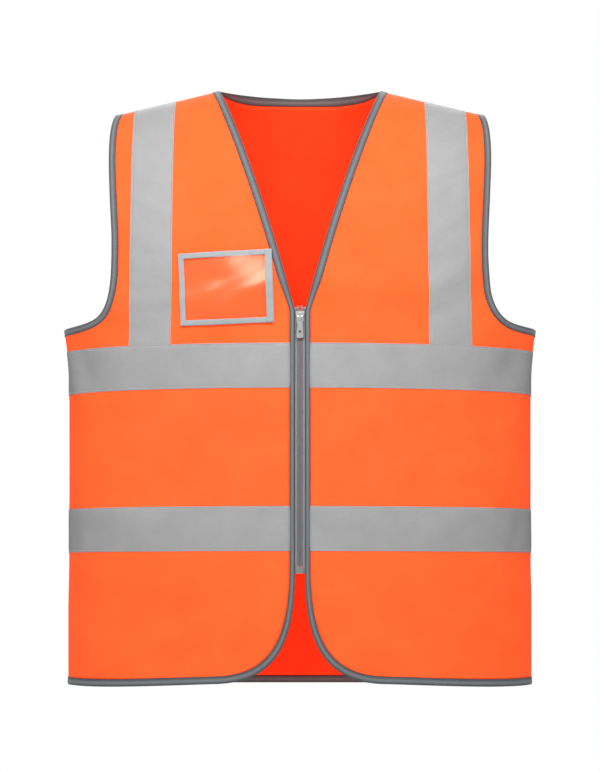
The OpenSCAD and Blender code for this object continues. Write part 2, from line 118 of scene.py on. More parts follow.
# Matt white paint: only a faint mottle, so it stays a plain pale ground
mottle = add(tree, "ShaderNodeTexNoise", {"Scale": 3.0, "Detail": 4.0})
tint = add(tree, "ShaderNodeValToRGB", {"stops": ((0.0, "#dddcda"), (1.0, "#e8e7e5"))},
           {"Fac": mottle.outputs["Fac"]})
paint = add(tree, "ShaderNodeBsdfPrincipled",
            {"Roughness": 0.85, "Emission Color": hue("#ffffff"), "Emission Strength": 0.55},
            {"Base Color": tint.outputs["Color"]})
add(tree, "ShaderNodeOutputMaterial", links={"Surface": paint.outputs["BSDF"]})
bpy.ops.mesh.primitive_circle_add(vertices=96, radius=3.3, fill_type="NGON",
                                  location=(0, 0, -shoulder_height))
floor = bpy.context.object
floor.name = "floor"
floor.data.materials.append(painted_floor)
floor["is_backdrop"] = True


def soft_light(name, place, aim, size, power):
    """A white panel of light, with its width and height in metres and its power in watts."""
    data = bpy.data.lights.new(name, "AREA")
    data.shape = "RECTANGLE"
    data.size, data.size_y = size
    data.energy = power
    lamp = bpy.data.objects.new(name, data)
    lamp.location = place
    lamp.rotation_euler = (Vector(aim) - Vector(place)).to_track_quat("-Z", "Y").to_euler()
    bpy.context.scene.collection.objects.link(lamp)


soft_light("overhead_front", (0.0, -1.15, 0.72), (0, -0.1, -0.1), (1.8, 0.5), 37)
soft_light("beside_camera", (-0.3, -2.0, 0.36), (-0.06, -0.1, -0.24), (0.26, 0.7), 7)
soft_light("front_left", (-1.9, -1.2, 0.5), (0, 0, -0.15), (0.8, 0.9), 7.5)
soft_light("front_right", (1.7, -1.4, 0.5), (0, 0, -0.15), (0.6, 0.7), 3.5)
soft_light("overhead_back", (0.0, 1.4, 1.1), (0, 0, -0.2), (1.8, 0.9), 30)
world = bpy.data.worlds.new("white_studio")
world.use_nodes = True
tree = world.node_tree
tree.nodes.clear()
seen = add(tree, "ShaderNodeLightPath")
studio_fill = add(tree, "ShaderNodeBackground", {"Color": hue("#ffffff"), "Strength": 0.22})
white_sweep = add(tree, "ShaderNodeBackground", {"Color": hue("#ffffff"), "Strength": 1.0})
either = add(tree, "ShaderNodeMixShader", links={0: seen.outputs["Is Camera Ray"], 1: studio_fill.outputs[0],
                                                 2: white_sweep.outputs[0]})
add(tree, "ShaderNodeOutputWorld", links={"Surface": either.outputs[0]})
bpy.context.scene.world = world
bpy.context.scene.view_settings.view_transform = "Standard"

# ---- The form that the vest is worn on --------------------------------------------------------
# The cloth takes one smooth shape from a chest of about 1.24 m round. A place on it is a turn round the body in
# degrees, and a level: 0 on the shoulder line, 1 at the chest, 1 more for each 100 mm down. Sizes are in mm.
FRONT, BACK = 1, -1
LEFT, RIGHT = 1, -1
waist_half = 266.5
underarm_flare = 5.5
front_depth, back_depth = 118.0, 112.0
body_length = 685.0
hang_tilt = 0.09
chest_drop = 265.0
neck_half, shoulder_half, shoulder_fall, nape_rise = 93.0, 213.0, 28.0, 45.0
armhole_drop = 277.0
armhole_half = {FRONT: 212.5, BACK: 215.5}


def smooth(s):
    """Eases from 0 to 1."""
    c = np.clip(s, 0, 1)
    return c * c * (3 - 2 * c)


def mix(a, b, share):
    return a + (b - a) * share


def ridge(x):
    """Height of the shoulder line, which falls from neck to arm, and of the nape between its neck ends."""
    u = np.minimum(1, np.abs(x) / neck_half)
    fall = shoulder_fall * (np.abs(x) - neck_half) / (shoulder_half - neck_half)
    return nape_rise * (1 - u * u) ** 2 - fall


def half_width(level):
    """Half the vest's width: flared a little under the arms."""
    return waist_half + underarm_flare * smooth(1 - (level - 1) / 0.7)


def level_at(x, h):
    """Level of the point x from the centre and h up from the neck."""
    above = np.maximum(0, (ridge(x) - h) / (ridge(x) + chest_drop))
    return np.where(h >= -chest_drop, above, 1 + (-chest_drop - h) / 100)


def place_of(x, h):
    """Turn and level of the point x from the centre and h up from the neck."""
    level = level_at(x, h)
    return np.degrees(np.arcsin(np.clip(x / half_width(level), -1, 1))), level


def form(turn, level, face):
    """Points on the smooth form: full and rounded over the shoulder, straight below the chest."""
    x = half_width(level) * np.sin(np.radians(turn))
    fullness = (1 - (1 - np.clip(level, 0, 1)) ** 2.2) ** 0.62
    y = -face * (front_depth if face == FRONT else back_depth) * fullness * np.cos(np.radians(turn))
    h = np.where(level <= 1, ridge(x) - level * (ridge(x) + chest_drop), -chest_drop - 100 * (level - 1))
    return np.stack([x, y, h - hang_tilt * y], -1)


def outward(surface, turn, level, face):
    """The way out of a surface, from its slopes across and down."""
    across = surface(turn + 0.4, level, face) - surface(turn - 0.4, level, face)
    down = surface(turn, level + 0.006, face) - surface(turn, np.maximum(0, level - 0.006), face)
    n = np.cross(down, across) * face
    return n / np.maximum(1e-9, np.linalg.norm(n, axis=-1, keepdims=True))


def drape(turn, level, face):
    """How far the cloth stands off the form: long soft folds that grow to the hem and fade at the sides."""
    at_sides = 1 - (np.abs(turn) / 90) ** 8
    below = smooth((level - 0.5) / 3.2)
    zip_stiff = np.where(face == FRONT, 1 - np.exp(-((turn / 9) ** 2)) * smooth((level - 0.7) / 0.3), 1.0)
    shift = 0.7 if face == FRONT else 2.9
    long_folds = 1.5 * np.sin(np.radians(turn * 4.3) + shift + 0.10 * level)
    long_folds = long_folds + 0.9 * np.sin(np.radians(turn * 8.7) + 1.9 * shift - 0.17 * level)
    chest = 0.8 * np.sin(np.radians(turn * 5.2) + 3.0 * level)
    chest = chest * smooth(level / 0.5) * smooth((1.9 - level) / 0.9)
    between = 0.7 * np.sin(math.pi * (level - 1.89) / 1.3) * smooth((level - 1.7) / 0.3)
    return at_sides * zip_stiff * (below * long_folds + chest + between * below)


# The cloth is cut a little fuller than the form and settles on it under its own weight. It is held at the
# shoulder and side lines and beside the zip, and the reflective tapes stiffen it.
tape_width = 50.0
upper_drop, lower_drop = 303.0, 484.0
fullness_share = 0.014
settle_cap = 5.5
settle_frames = 24
cloth_start, wearer_start = 0.6, -2.5
settle_turn = np.linspace(-90, 90, 67)
settle_level = np.concatenate([np.linspace(0, 1, 24, endpoint=False), np.linspace(1, 4.3, 32)])
settled = {}


def settle(face):
    """How far the settled cloth stands off the form, over the grid of settle_level by settle_turn."""
    turn, level = np.meshgrid(settle_turn, settle_level)
    start = form(turn, level, face)
    normal = outward(form, turn, level, face)
    rows, cols = turn.shape
    # The wearer's faces have to look outward, or the cloth sinks through them
    quads = [[r * cols + c, r * cols + c + 1, (r + 1) * cols + c + 1, (r + 1) * cols + c][::-face]
             for r in range(rows - 1) for c in range(cols - 1)]
    made = {}
    for name, out in (("wearer", wearer_start + 0 * turn),
                      ("settling_cloth", cloth_start + drape(turn, level, face))):
        lifted = start + out[..., None] * normal
        mesh = bpy.data.meshes.new(name)
        mesh.from_pydata((lifted.reshape(-1, 3) * 0.001).tolist(), [], quads)
        made[name] = bpy.data.objects.new(name, mesh)
        bpy.context.scene.collection.objects.link(made[name])
    made["wearer"].modifiers.new("body", "COLLISION")
    made["wearer"].collision.thickness_outer = 0.001
    made["wearer"].collision.cloth_friction = 12
    cloth = made["settling_cloth"]
    held = cloth.vertex_groups.new(name="held")
    taped = cloth.vertex_groups.new(name="taped")
    beside_zip = (np.abs(turn) < 3.5) & (level > 0.95) & (face == FRONT)
    fixed = (np.abs(turn) > 89) | (level < 0.001) | beside_zip
    drop = chest_drop + 100 * (level - 1)
    stiff = level > 4.15
    for top in (upper_drop, lower_drop):
        stiff = stiff | ((drop > top) & (drop < top + tape_width))
    held.add(np.flatnonzero(fixed).tolist(), 1.0, "REPLACE")
    taped.add(np.flatnonzero(stiff).tolist(), 1.0, "REPLACE")
    settling = cloth.modifiers.new("settling", "CLOTH")
    cut = settling.settings
    cut.quality = 6
    cut.mass = 0.12
    cut.tension_stiffness = cut.compression_stiffness = cut.shear_stiffness = 12
    cut.bending_stiffness = 0.25
    cut.bending_stiffness_max = 6
    cut.vertex_group_bending = "taped"
    cut.air_damping = 3
    cut.vertex_group_mass = "held"
    cut.shrink_min = -fullness_share
    settling.collision_settings.distance_min = 0.001
    scene = bpy.context.scene
    scene.frame_end = settle_frames
    settling.point_cache.frame_end = settle_frames
    for frame_number in range(1, settle_frames + 1):
        scene.frame_set(frame_number)
    shape = cloth.evaluated_get(bpy.context.evaluated_depsgraph_get()).to_mesh()
    moved = np.zeros(rows * cols * 3)
    shape.vertices.foreach_get("co", moved)
    off = np.einsum("rck,rck->rc", moved.reshape(rows, cols, 3) * 1000 - start, normal)
    for thing in made.values():
        bpy.data.objects.remove(thing)
    scene.frame_set(1)
    off = np.clip(off - cloth_start * fixed, -settle_cap, settle_cap)
    # Neighbouring points share what they moved, as threads do
    for _ in range(2):
        padded = np.pad(off, 1, mode="edge")
        off = (4 * off + padded[:-2, 1:-1] + padded[2:, 1:-1] + padded[1:-1, :-2] + padded[1:-1, 2:]) / 8
    return off * (1 - (np.abs(turn) / 90) ** 8)


def spline(t):
    """Shares of four points in a row in a smooth curve, at a share t of the way between the middle two."""
    return (1 - t) ** 3 / 6, (3 * t**3 - 6 * t**2 + 4) / 6, (1 + 3 * t + 3 * t**2 - 3 * t**3) / 6, t**3 / 6


def settled_at(turn, level, face):
    """The settled distance at any turns and levels, smoothly between the grid's points."""
    c = (np.clip(turn, -90, 90) + 90) / 180 * (len(settle_turn) - 1)
    r = np.interp(level, settle_level, np.arange(len(settle_level)))
    c0 = np.clip(c.astype(int), 0, len(settle_turn) - 2)
    r0 = np.clip(r.astype(int), 0, len(settle_level) - 2)
    grid = np.pad(settled[face], 1, mode="reflect", reflect_type="odd")
    across = spline(c - c0)
    off = 0.0
    for i, down in enumerate(spline(r - r0)):
        off = off + down * sum(across[j] * grid[r0 + i, c0 + j] for j in range(4))
    return off


for face in (FRONT, BACK):
    settled[face] = settle(face)


def hung(turn, level, face):
    """Points on the middle of the worn cloth."""
    off = settled_at(turn, level, face) if face in settled else drape(turn, level, face)
    return form(turn, level, face) + off[..., None] * outward(form, turn, level, face)


def cloth_at(turn, level, face, out=0.0):
    """Points on the worn cloth, moved out by some millimetres."""
    turn, level, out = np.broadcast_arrays(*(np.asarray(given, float) for given in (turn, level, out)))
    return hung(turn, level, face) + out[..., None] * outward(hung, turn, level, face)


# ---- The orange panels --------------------------------------------------------------------------
# Two fronts and a back, cut from warp-knitted polyester dyed fluorescent orange, about 0.3 mm thick.
# Each hangs from the shoulders, and its edges are held flat by the binding.
cloth_thick = 0.6
zip_top, zip_foot = 268.0, 559.0
zip_gap_half = 5.6
binding_width, zip_binding_width = 8.6, 6.0
hem_sweep = -body_length + 3
hem_corner = (100.0, hem_sweep)
WHOLE_BACK = 2
# A Wave Texture of this scale repeats once a metre
metre_wave = 0.3142


def bezier(points, t):
    """Points at shares t of a cubic curve."""
    p = np.array(points, float)
    t = np.asarray(t, float)[:, None]
    return (1 - t) ** 3 * p[0] + 3 * t * (1 - t) ** 2 * p[1] + 3 * t * t * (1 - t) * p[2] + t**3 * p[3]


def inset(pts, width):
    """A line moved sideways by a width."""
    along = np.gradient(pts, axis=0)
    along /= np.linalg.norm(along, axis=1, keepdims=True)
    return pts + np.asarray(width)[:, None] * np.stack([-along[:, 1], along[:, 0]], 1)


# Each front's own edge, from the swept hem corner up the zip and the V to the neck end of the shoulder line
corner_n, zip_n, neck_n, foot_n = 26, 74, 84, 26
corner_edge = bezier([(zip_gap_half, -zip_foot), (zip_gap_half + 0.5, -zip_foot - 69), (20, hem_sweep),
                      hem_corner], np.linspace(1, 0, corner_n, endpoint=False))
zip_rise = np.linspace(-zip_foot, -zip_top, zip_n, endpoint=False)
zip_edge = np.stack([np.full(zip_n, zip_gap_half), zip_rise], 1)
vee_t = np.concatenate([np.linspace(1, 0.8, foot_n, endpoint=False),
                        0.8 * (1 - np.linspace(0, 1, neck_n - foot_n)) ** 1.5])
vee_edge = bezier([(neck_half, 0), (67, -62), (27.5, -180), (zip_gap_half, -zip_top)], vee_t)
front_edge = np.concatenate([corner_edge, zip_edge, vee_edge])
corner_width = -mix(binding_width, zip_binding_width, np.linspace(0, 1, corner_n) ** 2)
vee_width = mix(zip_binding_width, binding_width * 1.07, smooth(4 * np.linspace(0, 1, neck_n)))
front_inner = np.concatenate([inset(corner_edge, corner_width), zip_edge + [zip_binding_width, 0],
                              vee_edge + np.stack([vee_width, np.zeros(neck_n)], 1)])
front_inner[-1, 1] = ridge(front_inner[-1, 0])
# The hem corner's first point starts a binding width up from the hem
front_inner[0] = (hem_corner[0], hem_corner[1] + binding_width)


def armhole(face):
    """The armhole's edge from its foot at the side up to the shoulder, and the binding's inner edge."""
    half = armhole_half[face]
    bend = (half - 0.5, -200)
    foot = (float(half_width(1.12)), -armhole_drop)
    low = bezier([foot, (half + 4, -armhole_drop), (half + 1, -armhole_drop + 16), bend],
                 np.linspace(0, 1, foot_n, endpoint=False) ** 2)
    high = bezier([bend, (half - 1, -150), (shoulder_half + 12, -60), (shoulder_half, -shoulder_fall)],
                  1 - (1 - np.linspace(0, 1, neck_n - foot_n)) ** 1.5)
    edge = np.concatenate([low, high])
    inner = inset(edge, np.full(neck_n, binding_width * 0.93))
    inner[0] = (foot[0], foot[1] - binding_width)
    end_x = edge[-1, 0] - binding_width
    inner[-1] = (end_x, ridge(end_x))
    return edge, inner


def places(points):
    """Turn and level of outline points; the ends on the shoulder line stay on it."""
    turn, level = place_of(points[:, 0], points[:, 1])
    level[-1] = 0 if points[-1, 1] > -60 else level[-1]
    return np.stack([turn, level], 1)


def side_places(points):
    """The same for a line that starts at the side."""
    made = places(points)
    made[0, 0] = 90
    return made


front_inner_at, front_edge_at = places(front_inner), places(front_edge)
armhole_edge_at = {face: side_places(armhole(face)[0]) for face in (FRONT, BACK)}
armhole_inner_at = {face: side_places(armhole(face)[1]) for face in (FRONT, BACK)}
side_h = np.concatenate([np.linspace(-body_length + binding_width, -zip_foot, corner_n, endpoint=False),
                         np.linspace(-zip_foot, -armhole_drop - binding_width, zip_n, endpoint=False)])
side_at = np.stack([np.full(len(side_h), 90.0), level_at(0.0, side_h)], 1)
front_outer_at = np.concatenate([side_at, armhole_inner_at[FRONT]])


def mesh_piece(name, points, faces, skin, uv=None):
    """A mesh object in metres from points in millimetres, smooth shaded, with cloth coordinates in metres."""
    mesh = bpy.data.meshes.new(name)
    mesh.from_pydata((np.asarray(points) * 0.001).tolist(), [], [list(map(int, f)) for f in faces])
    mesh.validate()
    mesh.shade_smooth()
    if uv is not None:
        layer = mesh.uv_layers.new(name="cloth")
        corners = np.zeros(len(mesh.loops), int)
        mesh.loops.foreach_get("vertex_index", corners)
        layer.data.foreach_set("uv", (np.asarray(uv)[corners] * 0.001).ravel())
    mesh.materials.append(skin)
    made = bpy.data.objects.new(name, mesh)
    bpy.context.scene.collection.objects.link(made)
    return made


def grid_faces(rows, cols, start=0, closed=False, turned=False):
    """Four-sided faces over rows and columns of points, closed round the columns or turned over."""
    r, c = np.meshgrid(np.arange(rows - 1), np.arange(cols if closed else cols - 1), indexing="ij")
    after = (c + 1) % cols
    quads = np.stack([r * cols + c, r * cols + after, (r + 1) * cols + after, (r + 1) * cols + c], -1)
    quads = quads.reshape(-1, 4)
    return (quads[:, ::-1] if turned else quads) + start


def slab(name, turn, level, face, low, high, skin, reverse=None):
    """A closed sheet between two distances from the cloth's middle, over a grid of turns and levels."""
    rows, cols = turn.shape
    top, under = cloth_at(turn, level, face, high), cloth_at(turn, level, face, low)
    n = rows * cols
    faces = [grid_faces(rows, cols), grid_faces(rows, cols, n, turned=True)]
    rim = np.concatenate([np.arange(cols), np.arange(1, rows) * cols + cols - 1,
                          (rows - 1) * cols + np.arange(cols - 2, -1, -1), np.arange(rows - 2, 0, -1) * cols])
    after = np.roll(rim, -1)
    faces.append(np.stack([after, rim, rim + n, after + n], 1))
    middle = (top + under) / 2
    steps = np.linalg.norm(np.diff(middle, axis=1), axis=2)
    run = np.concatenate([np.zeros((rows, 1)), np.cumsum(steps, 1)], 1)
    start = half_width(level[:, :1]) * np.radians(turn[:, :1]) * 0.8
    uv = np.stack([run * np.sign(turn[:, -1:] - turn[:, :1]) + start, middle[..., 2]], -1).reshape(n, 2)
    quads = np.concatenate(faces)
    if np.sign(turn[0, -1] - turn[0, 0]) * np.sign(level[-1, 0] - level[0, 0]) * face > 0:
        quads = quads[:, ::-1]
    made = mesh_piece(name, np.concatenate([top.reshape(n, 3), under.reshape(n, 3)]), quads, skin,
                      np.concatenate([uv, uv]))
    if reverse is not None:
        made.data.materials.append(reverse)
        inner = len(faces[0])
        for polygon in made.data.polygons[inner : 2 * inner]:
            polygon.material_index = 1
    return made


# Fluorescent dye gives back more orange than falls on it; here that is drawn as a steady painted glow, which
# shines whatever light falls on it. The knit has fine upright wales: real ones are 0.7 mm apart, drawn at 1.3
# mm so that they show at arm's length.
knits = {}
for side_seen, pale, deep, fuzz in (("face", "#fb6028", "#f95820", 0.08),
                                    ("reverse", "#ee3c09", "#ea3606", 0.0)):
    # The reverse faces the inside of the vest. It has no nap, so no sheen, and its colour is painted deeper as
    # painted shade for the dim inside
    knits[side_seen], tree = material(f"warp_knitted_polyester_fluorescent_orange_{side_seen}")
    metres = add(tree, "ShaderNodeUVMap", {"uv_map": "cloth"})
    wale = add(tree, "ShaderNodeTexWave",
               {"bands_direction": "X", "Scale": metre_wave / 0.0013, "Distortion": 0.6, "Detail": 1.0},
               {"Vector": metres.outputs["UV"]})
    course = add(tree, "ShaderNodeTexWave",
                 {"bands_direction": "Y", "Scale": metre_wave / 0.0011, "Distortion": 0.4},
                 {"Vector": metres.outputs["UV"]})
    knots = add(tree, "ShaderNodeMath", {"operation": "MULTIPLY"},
                {0: wale.outputs["Fac"], 1: course.outputs["Fac"]})
    cloudy = add(tree, "ShaderNodeTexNoise", {"Scale": 1 / 0.05, "Detail": 3.0, "Roughness": 0.55},
                 {"Vector": metres.outputs["UV"]})
    rumple = add(tree, "ShaderNodeTexNoise", {"Scale": 1 / 0.018, "Detail": 2.0},
                 {"Vector": metres.outputs["UV"]})
    dyed = add(tree, "ShaderNodeValToRGB", {"stops": ((0.3, deep), (0.7, pale))},
               {"Fac": cloudy.outputs["Fac"]})
    holes = add(tree, "ShaderNodeValToRGB", {"stops": ((0.0, "#e2d9d6"), (1.0, "#ffffff"))},
                {"Fac": knots.outputs["Value"]})
    shade = add(tree, "ShaderNodeMix", {"data_type": "RGBA", "blend_type": "MULTIPLY", 0: 0.5},
                {6: dyed.outputs["Color"], 7: holes.outputs["Color"]})
    loops = add(tree, "ShaderNodeBump", {"Strength": 0.35, "Distance": 0.00012},
                {"Height": knots.outputs["Value"]})
    slack = add(tree, "ShaderNodeBump", {"Strength": 0.25, "Distance": 0.0005},
                {"Height": rumple.outputs["Fac"], "Normal": loops.outputs["Normal"]})
    # The emission is a painted glow that stands for the dye's fluorescence
    knitted = add(tree, "ShaderNodeBsdfPrincipled",
                  {"Roughness": 0.82, "Specular IOR Level": 0.25, "Sheen Weight": fuzz, "Sheen Roughness": 0.5,
                   "Sheen Tint": hue("#ff9a6a"), "Emission Color": hue("#ff2c06"), "Emission Strength": 0.3},
                  {"Base Color": shade.outputs[2], "Normal": slack.outputs["Normal"]})
    add(tree, "ShaderNodeOutputMaterial", links={"Surface": knitted.outputs["BSDF"]})


def with_front(piece):
    """Bakes a front piece's placing into its points."""
    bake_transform(piece)


front_share = np.linspace(0, 1, 96)
panels = {}
hem_sag = 0.03
near_hem = np.clip(1 - np.arange(len(front_inner_at)) / corner_n, 0, 1)[:, None]
for side, word in ((LEFT, "left"), (RIGHT, "right")):
    turn = mix(front_inner_at[:, :1], front_outer_at[:, :1], front_share[None])
    level = mix(front_inner_at[:, 1:], front_outer_at[:, 1:], front_share[None])
    level = level + hem_sag * np.sin(math.pi * front_share)[None] * near_hem
    hem_row = np.stack([turn[0], level[0]], 1)
    panels[side] = slab(f"panel_front_{word}", side * turn, level, FRONT, -cloth_thick / 2, cloth_thick / 2,
                        # The under faces take the reverse knit, whose deeper colour is painted shade
                        knits["face"], knits["reverse"])
    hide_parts(f"front_panel_{word}")

# The back is one piece; its top edge dips a little between the neck ends of the shoulder lines
nape_height = 4.0
low_n, hem_n = 100, 30
back_low = np.linspace(-body_length + binding_width, -armhole_drop - binding_width, low_n, endpoint=False)
neck_share = (np.degrees(np.arcsin((neck_half + binding_width) / half_width(0)))
              / np.degrees(np.arcsin((shoulder_half - binding_width) / half_width(0))))
back_share = np.concatenate([np.linspace(0, neck_share, 36, endpoint=False), np.linspace(neck_share, 1, 46)])
back_share = np.concatenate([-back_share[:0:-1], back_share])


def nape_level(turn):
    """Levels of the back neckline and of its binding's inner edge."""
    x = half_width(0) * np.sin(np.radians(turn))
    reach = neck_half + binding_width
    edge = level_at(x, nape_height * (1 - (x / neck_half) ** 2))
    inner = level_at(x * neck_half / reach, nape_height) + 0.023 * (1 - np.abs(x / reach) ** 4)
    return np.where(np.abs(x) < neck_half, edge, 0), np.maximum(0, inner)


end = armhole_inner_at[BACK]
top_turn = end[-1, 0] * back_share
top_level = np.where(np.abs(back_share) >= neck_share - 0.001, 0, nape_level(top_turn)[1])
back_sag = hem_sag * (1 - back_share**2)
near_hem = np.clip(1 - np.arange(low_n) / hem_n, 0, 1)[:, None]
low_level = level_at(0.0, back_low)[:, None] + back_sag[None] * near_hem
high_level = mix(top_level[None], end[0, 1], (end[:, 1] / end[0, 1])[:, None])
turn = np.concatenate([np.repeat(90 * back_share[None], low_n, 0), end[:, :1] * back_share[None]])
level = np.concatenate([low_level, high_level])
back_hem_row = np.stack([turn[0], level[0]], 1)
panels[WHOLE_BACK] = slab("panel_back", turn, level, BACK, -cloth_thick / 2, cloth_thick / 2,
                          knits["face"], knits["reverse"])
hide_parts("back_panel")

# ---- Grey binding round every edge -----------------------------------------------------------------
# Woven grey tape folded over the raw edge of the cloth and stitched through, thick at its fold and thin at its
# stitched side. One run goes from each side along the hem, up the front edge and up the V to the shoulder.
binding_cloth, tree = material("woven_polyester_binding_tape_grey")
# A highlight along the middle of the fold and shade at its edges are painted into its colour, and ribs of weft
# run across it at 1 mm
metres = add(tree, "ShaderNodeUVMap", {"uv_map": "cloth"})
split = add(tree, "ShaderNodeSeparateXYZ", links={"Vector": metres.outputs["UV"]})
ribs = add(tree, "ShaderNodeTexWave", {"bands_direction": "X", "Scale": metre_wave / 0.001, "Distortion": 0.5},
           {"Vector": metres.outputs["UV"]})
across = add(tree, "ShaderNodeMath", {"operation": "DIVIDE", 1: binding_width * 0.001},
             {0: split.outputs["Y"]})
# Painted highlight along the middle of the fold, painted shade towards both edges
painted_highlight_and_shade = add(tree, "ShaderNodeValToRGB", {"stops": ((0.0, "#3c4042"), (0.22, "#525557"), (0.5, "#707376"),
                                                  (0.72, "#595c5e"), (1.0, "#3a3d3f"))},
           {"Fac": across.outputs["Value"]})
mottled = add(tree, "ShaderNodeTexNoise", {"Scale": 1 / 0.006, "Detail": 3.0},
              {"Vector": metres.outputs["UV"]})
speck = add(tree, "ShaderNodeValToRGB", {"stops": ((0.0, "#d5d5d5"), (1.0, "#ffffff"))},
            {"Fac": mottled.outputs["Fac"]})
tone = add(tree, "ShaderNodeMix", {"data_type": "RGBA", "blend_type": "MULTIPLY", 0: 0.6},
           {6: painted_highlight_and_shade.outputs["Color"], 7: speck.outputs["Color"]})
weft = add(tree, "ShaderNodeBump", {"Strength": 0.5, "Distance": 0.00015}, {"Height": ribs.outputs["Fac"]})
woven = add(tree, "ShaderNodeBsdfPrincipled", {"Roughness": 0.7, "Sheen Weight": 0.2, "Sheen Roughness": 0.4,
                                               "Specular IOR Level": 0.3},
            {"Base Color": tone.outputs[2], "Normal": weft.outputs["Normal"]})
add(tree, "ShaderNodeOutputMaterial", links={"Surface": woven.outputs["BSDF"]})

# The folded section: share of the way from the fold to the stitched side, and distance from the cloth's middle.
# It dips at the stitch line, which the stitches below follow.
fold_section = np.array([(1.0, 0.34), (1.0, 0.7), (0.93, 0.92), (0.8, 0.86), (0.62, 1.12), (0.4, 1.28),
                         (0.2, 1.2), (0.06, 0.9), (0.0, 0.35), (0.0, -0.35), (0.06, -0.7), (0.22, -0.88),
                         (0.5, -0.9), (0.8, -0.72), (0.93, -0.8), (1.0, -0.6), (1.0, -0.34)])
stitch_share = 0.86


def ring_piece(name, rings, skin, uv):
    """A closed tube through rings of points, with its ends filled."""
    rows, cols = rings.shape[:2]
    faces = grid_faces(rows, cols, closed=True).tolist()
    faces += [list(range(cols))[::-1], [(rows - 1) * cols + c for c in range(cols)]]
    return mesh_piece(name, rings.reshape(-1, 3), faces, skin, uv.reshape(-1, 2))


def binding(name, edge, inner, face, node):
    """Binding between two lines of turns and levels, with the slight ripple of its stitching."""
    s, out = fold_section[:, 0], fold_section[:, 1]
    turn = mix(edge[:, :1], inner[:, :1], s[None])
    level = mix(edge[:, 1:], inner[:, 1:], s[None])
    middle = cloth_at(edge[:, 0], edge[:, 1], face)
    run = np.concatenate([[0], np.cumsum(np.linalg.norm(np.diff(middle, axis=0), axis=1))])
    ripple = 1 + 0.07 * np.sin(run / 2.9)[:, None] * (s[None] > 0.5)
    rings = cloth_at(turn, level, face, np.where(out > 0, out * ripple, out))
    uv = np.stack(np.broadcast_arrays(run[:, None], (s * binding_width)[None]), -1)
    made = ring_piece(name, rings, binding_cloth, uv)
    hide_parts(node)
    return made


def tidy_faces(piece):
    """Turns a closed piece's faces outward."""
    bpy.context.view_layer.objects.active = piece
    for other in bpy.context.selected_objects:
        other.select_set(False)
    piece.select_set(True)
    bpy.ops.object.mode_set(mode="EDIT")
    bpy.ops.mesh.select_all(action="SELECT")
    bpy.ops.mesh.normals_make_consistent(inside=False)
    bpy.ops.object.mode_set(mode="OBJECT")
    return piece


on_front = {LEFT: [], RIGHT: []}
on_back = []
stitch_rows = {LEFT: [], RIGHT: [], WHOLE_BACK: []}
for side, word in ((LEFT, "left"), (RIGHT, "right")):
    hem_inner = hem_row[:0:-1]
    edge = np.concatenate([hem_inner + [0, binding_width / 100], front_edge_at])
    inner = np.concatenate([hem_inner, front_inner_at])
    edge[:, 0] *= side
    inner = inner * [side, 1]
    on_front[side].append(binding(f"binding_front_edge_{word}", edge, inner, FRONT, f"edge_binding_{word}"))
    stitch_rows[side].append((edge, inner, stitch_share, FRONT))
    for face in (FRONT, BACK):
        edge = armhole_edge_at[face] * [side, 1]
        inner = armhole_inner_at[face] * [side, 1]
        where = "front" if face == FRONT else "back"
        made = binding(f"binding_armhole_{where}_{word}", edge, inner, face,
                       f"armhole_binding_{where}_{word}")
        (on_front[side] if face == FRONT else on_back).append(made)
        stitch_rows[side if face == FRONT else WHOLE_BACK].append((edge, inner, stitch_share, face))
edge = back_hem_row + [0, binding_width / 100]
on_back.append(binding("binding_back_hem", edge, back_hem_row, BACK, "back_hem_binding"))
stitch_rows[WHOLE_BACK].append((edge, back_hem_row, stitch_share, BACK))
shoulder_width = float(half_width(0))
inner_turn = np.linspace(-1, 1, 90) * math.degrees(math.asin((neck_half + binding_width) / shoulder_width))
edge_turn = np.linspace(-1, 1, 90) * math.degrees(math.asin(neck_half / shoulder_width))
edge = np.stack([edge_turn, nape_level(edge_turn)[0]], 1)
inner = np.stack([inner_turn, nape_level(inner_turn)[1]], 1)
edge[[0, -1], 1] = inner[[0, -1], 1] = 0
on_back.append(binding("binding_back_neck", edge, inner, BACK, "back_neck_binding"))
stitch_rows[WHOLE_BACK].append((edge, inner, stitch_share, BACK))

# ---- Reflective bands and braces ----------------------------------------------------------------------
# Glass-bead retroreflective tape 50 mm wide, sewn flat along both edges: two bands round the body, and a brace
# over each shoulder that ends under the upper band.
brace_in, brace_out = 143.0, 191.0
beaded, tree = material("glass_bead_reflective_tape_silver")
# Beads bonded to an aluminium-backed cloth: flat grey in ordinary light, with a fine even sparkle. Real beads
# are 0.06 mm, drawn at 0.7 mm so that the grain shows.
metres = add(tree, "ShaderNodeUVMap", {"uv_map": "cloth"})
beads = add(tree, "ShaderNodeTexVoronoi", {"Scale": 1 / 0.0007, "Randomness": 0.8},
            {"Vector": metres.outputs["UV"]})
scuffs = add(tree, "ShaderNodeTexNoise", {"Scale": 1 / 0.03, "Detail": 5.0, "Roughness": 0.6},
             {"Vector": metres.outputs["UV"]})
greyed = add(tree, "ShaderNodeValToRGB", {"stops": ((0.3, "#8f8f8f"), (0.75, "#979798"))},
             {"Fac": scuffs.outputs["Fac"]})
bead_tint = add(tree, "ShaderNodeValToRGB", {"stops": ((0.0, "#ffffff"), (1.0, "#cfcfcf"))},
                {"Fac": beads.outputs["Distance"]})
bead_grey = add(tree, "ShaderNodeMix", {"data_type": "RGBA", "blend_type": "MULTIPLY", 0: 0.5},
                {6: greyed.outputs["Color"], 7: bead_tint.outputs["Color"]})
grain = add(tree, "ShaderNodeBump", {"Strength": 0.3, "Distance": 0.0001},
            {"Height": beads.outputs["Distance"]})
reflective = add(tree, "ShaderNodeBsdfPrincipled",
                 {"Metallic": 0.08, "Roughness": 0.62, "Specular IOR Level": 0.35},
                 {"Base Color": bead_grey.outputs[2], "Normal": grain.outputs["Normal"]})
add(tree, "ShaderNodeOutputMaterial", links={"Surface": reflective.outputs["BSDF"]})

